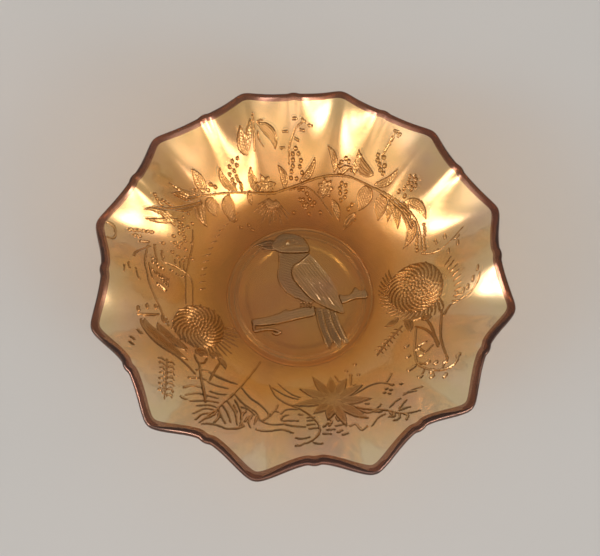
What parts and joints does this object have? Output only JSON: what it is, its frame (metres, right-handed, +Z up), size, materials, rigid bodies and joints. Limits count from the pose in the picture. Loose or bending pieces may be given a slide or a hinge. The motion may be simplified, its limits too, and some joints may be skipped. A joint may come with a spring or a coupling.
{
  "type": "bowl",
  "caption": "Pressed glass bowl with a ruffled rim of rounded points, a collar foot, a bird on a branch in the well and wildflower relief round the wall.",
  "frame": {"origin": "centre of the foot ring's flat bottom, on the table", "axes": "+Z up through the middle of the bowl, +Y towards the side above the bird's head, +X to the right of the bird's picture"},
  "size_m": [0.2366, 0.2348, 0.0666],
  "materials": {
    "marigold_glass": "pressed, orange iridescent lustre",
    "well_glass": "pressed, satin olive-gold lustre",
    "rim_glass": "fire-polished"
  },
  "bodies": {
    "root": {"foot_ring": "well_glass", "well_floor": "well_glass", "rope_border": "well_glass", "bowl_wall": "marigold_glass", "ruffled_rim": "rim_glass", "bird_head": "well_glass", "bird_body": "well_glass", "bird_wing": "well_glass", "bird_tail": "well_glass", "perch_branch": "well_glass", "garland_stem": "marigold_glass", "garland_leaves": "marigold_glass", "garland_berries": "marigold_glass", "garland_flowers": "marigold_glass", "moth_leaves": "marigold_glass", "wattle_sprays": "marigold_glass", "left_waratah": "marigold_glass", "bead_sprays": "marigold_glass", "fern_frond": "marigold_glass", "flannel_flower": "marigold_glass", "grass_leaves": "marigold_glass", "right_waratah": "marigold_glass", "berry_spray": "marigold_glass", "rim_sprigs": "marigold_glass"}
  },
  "joints": []
}
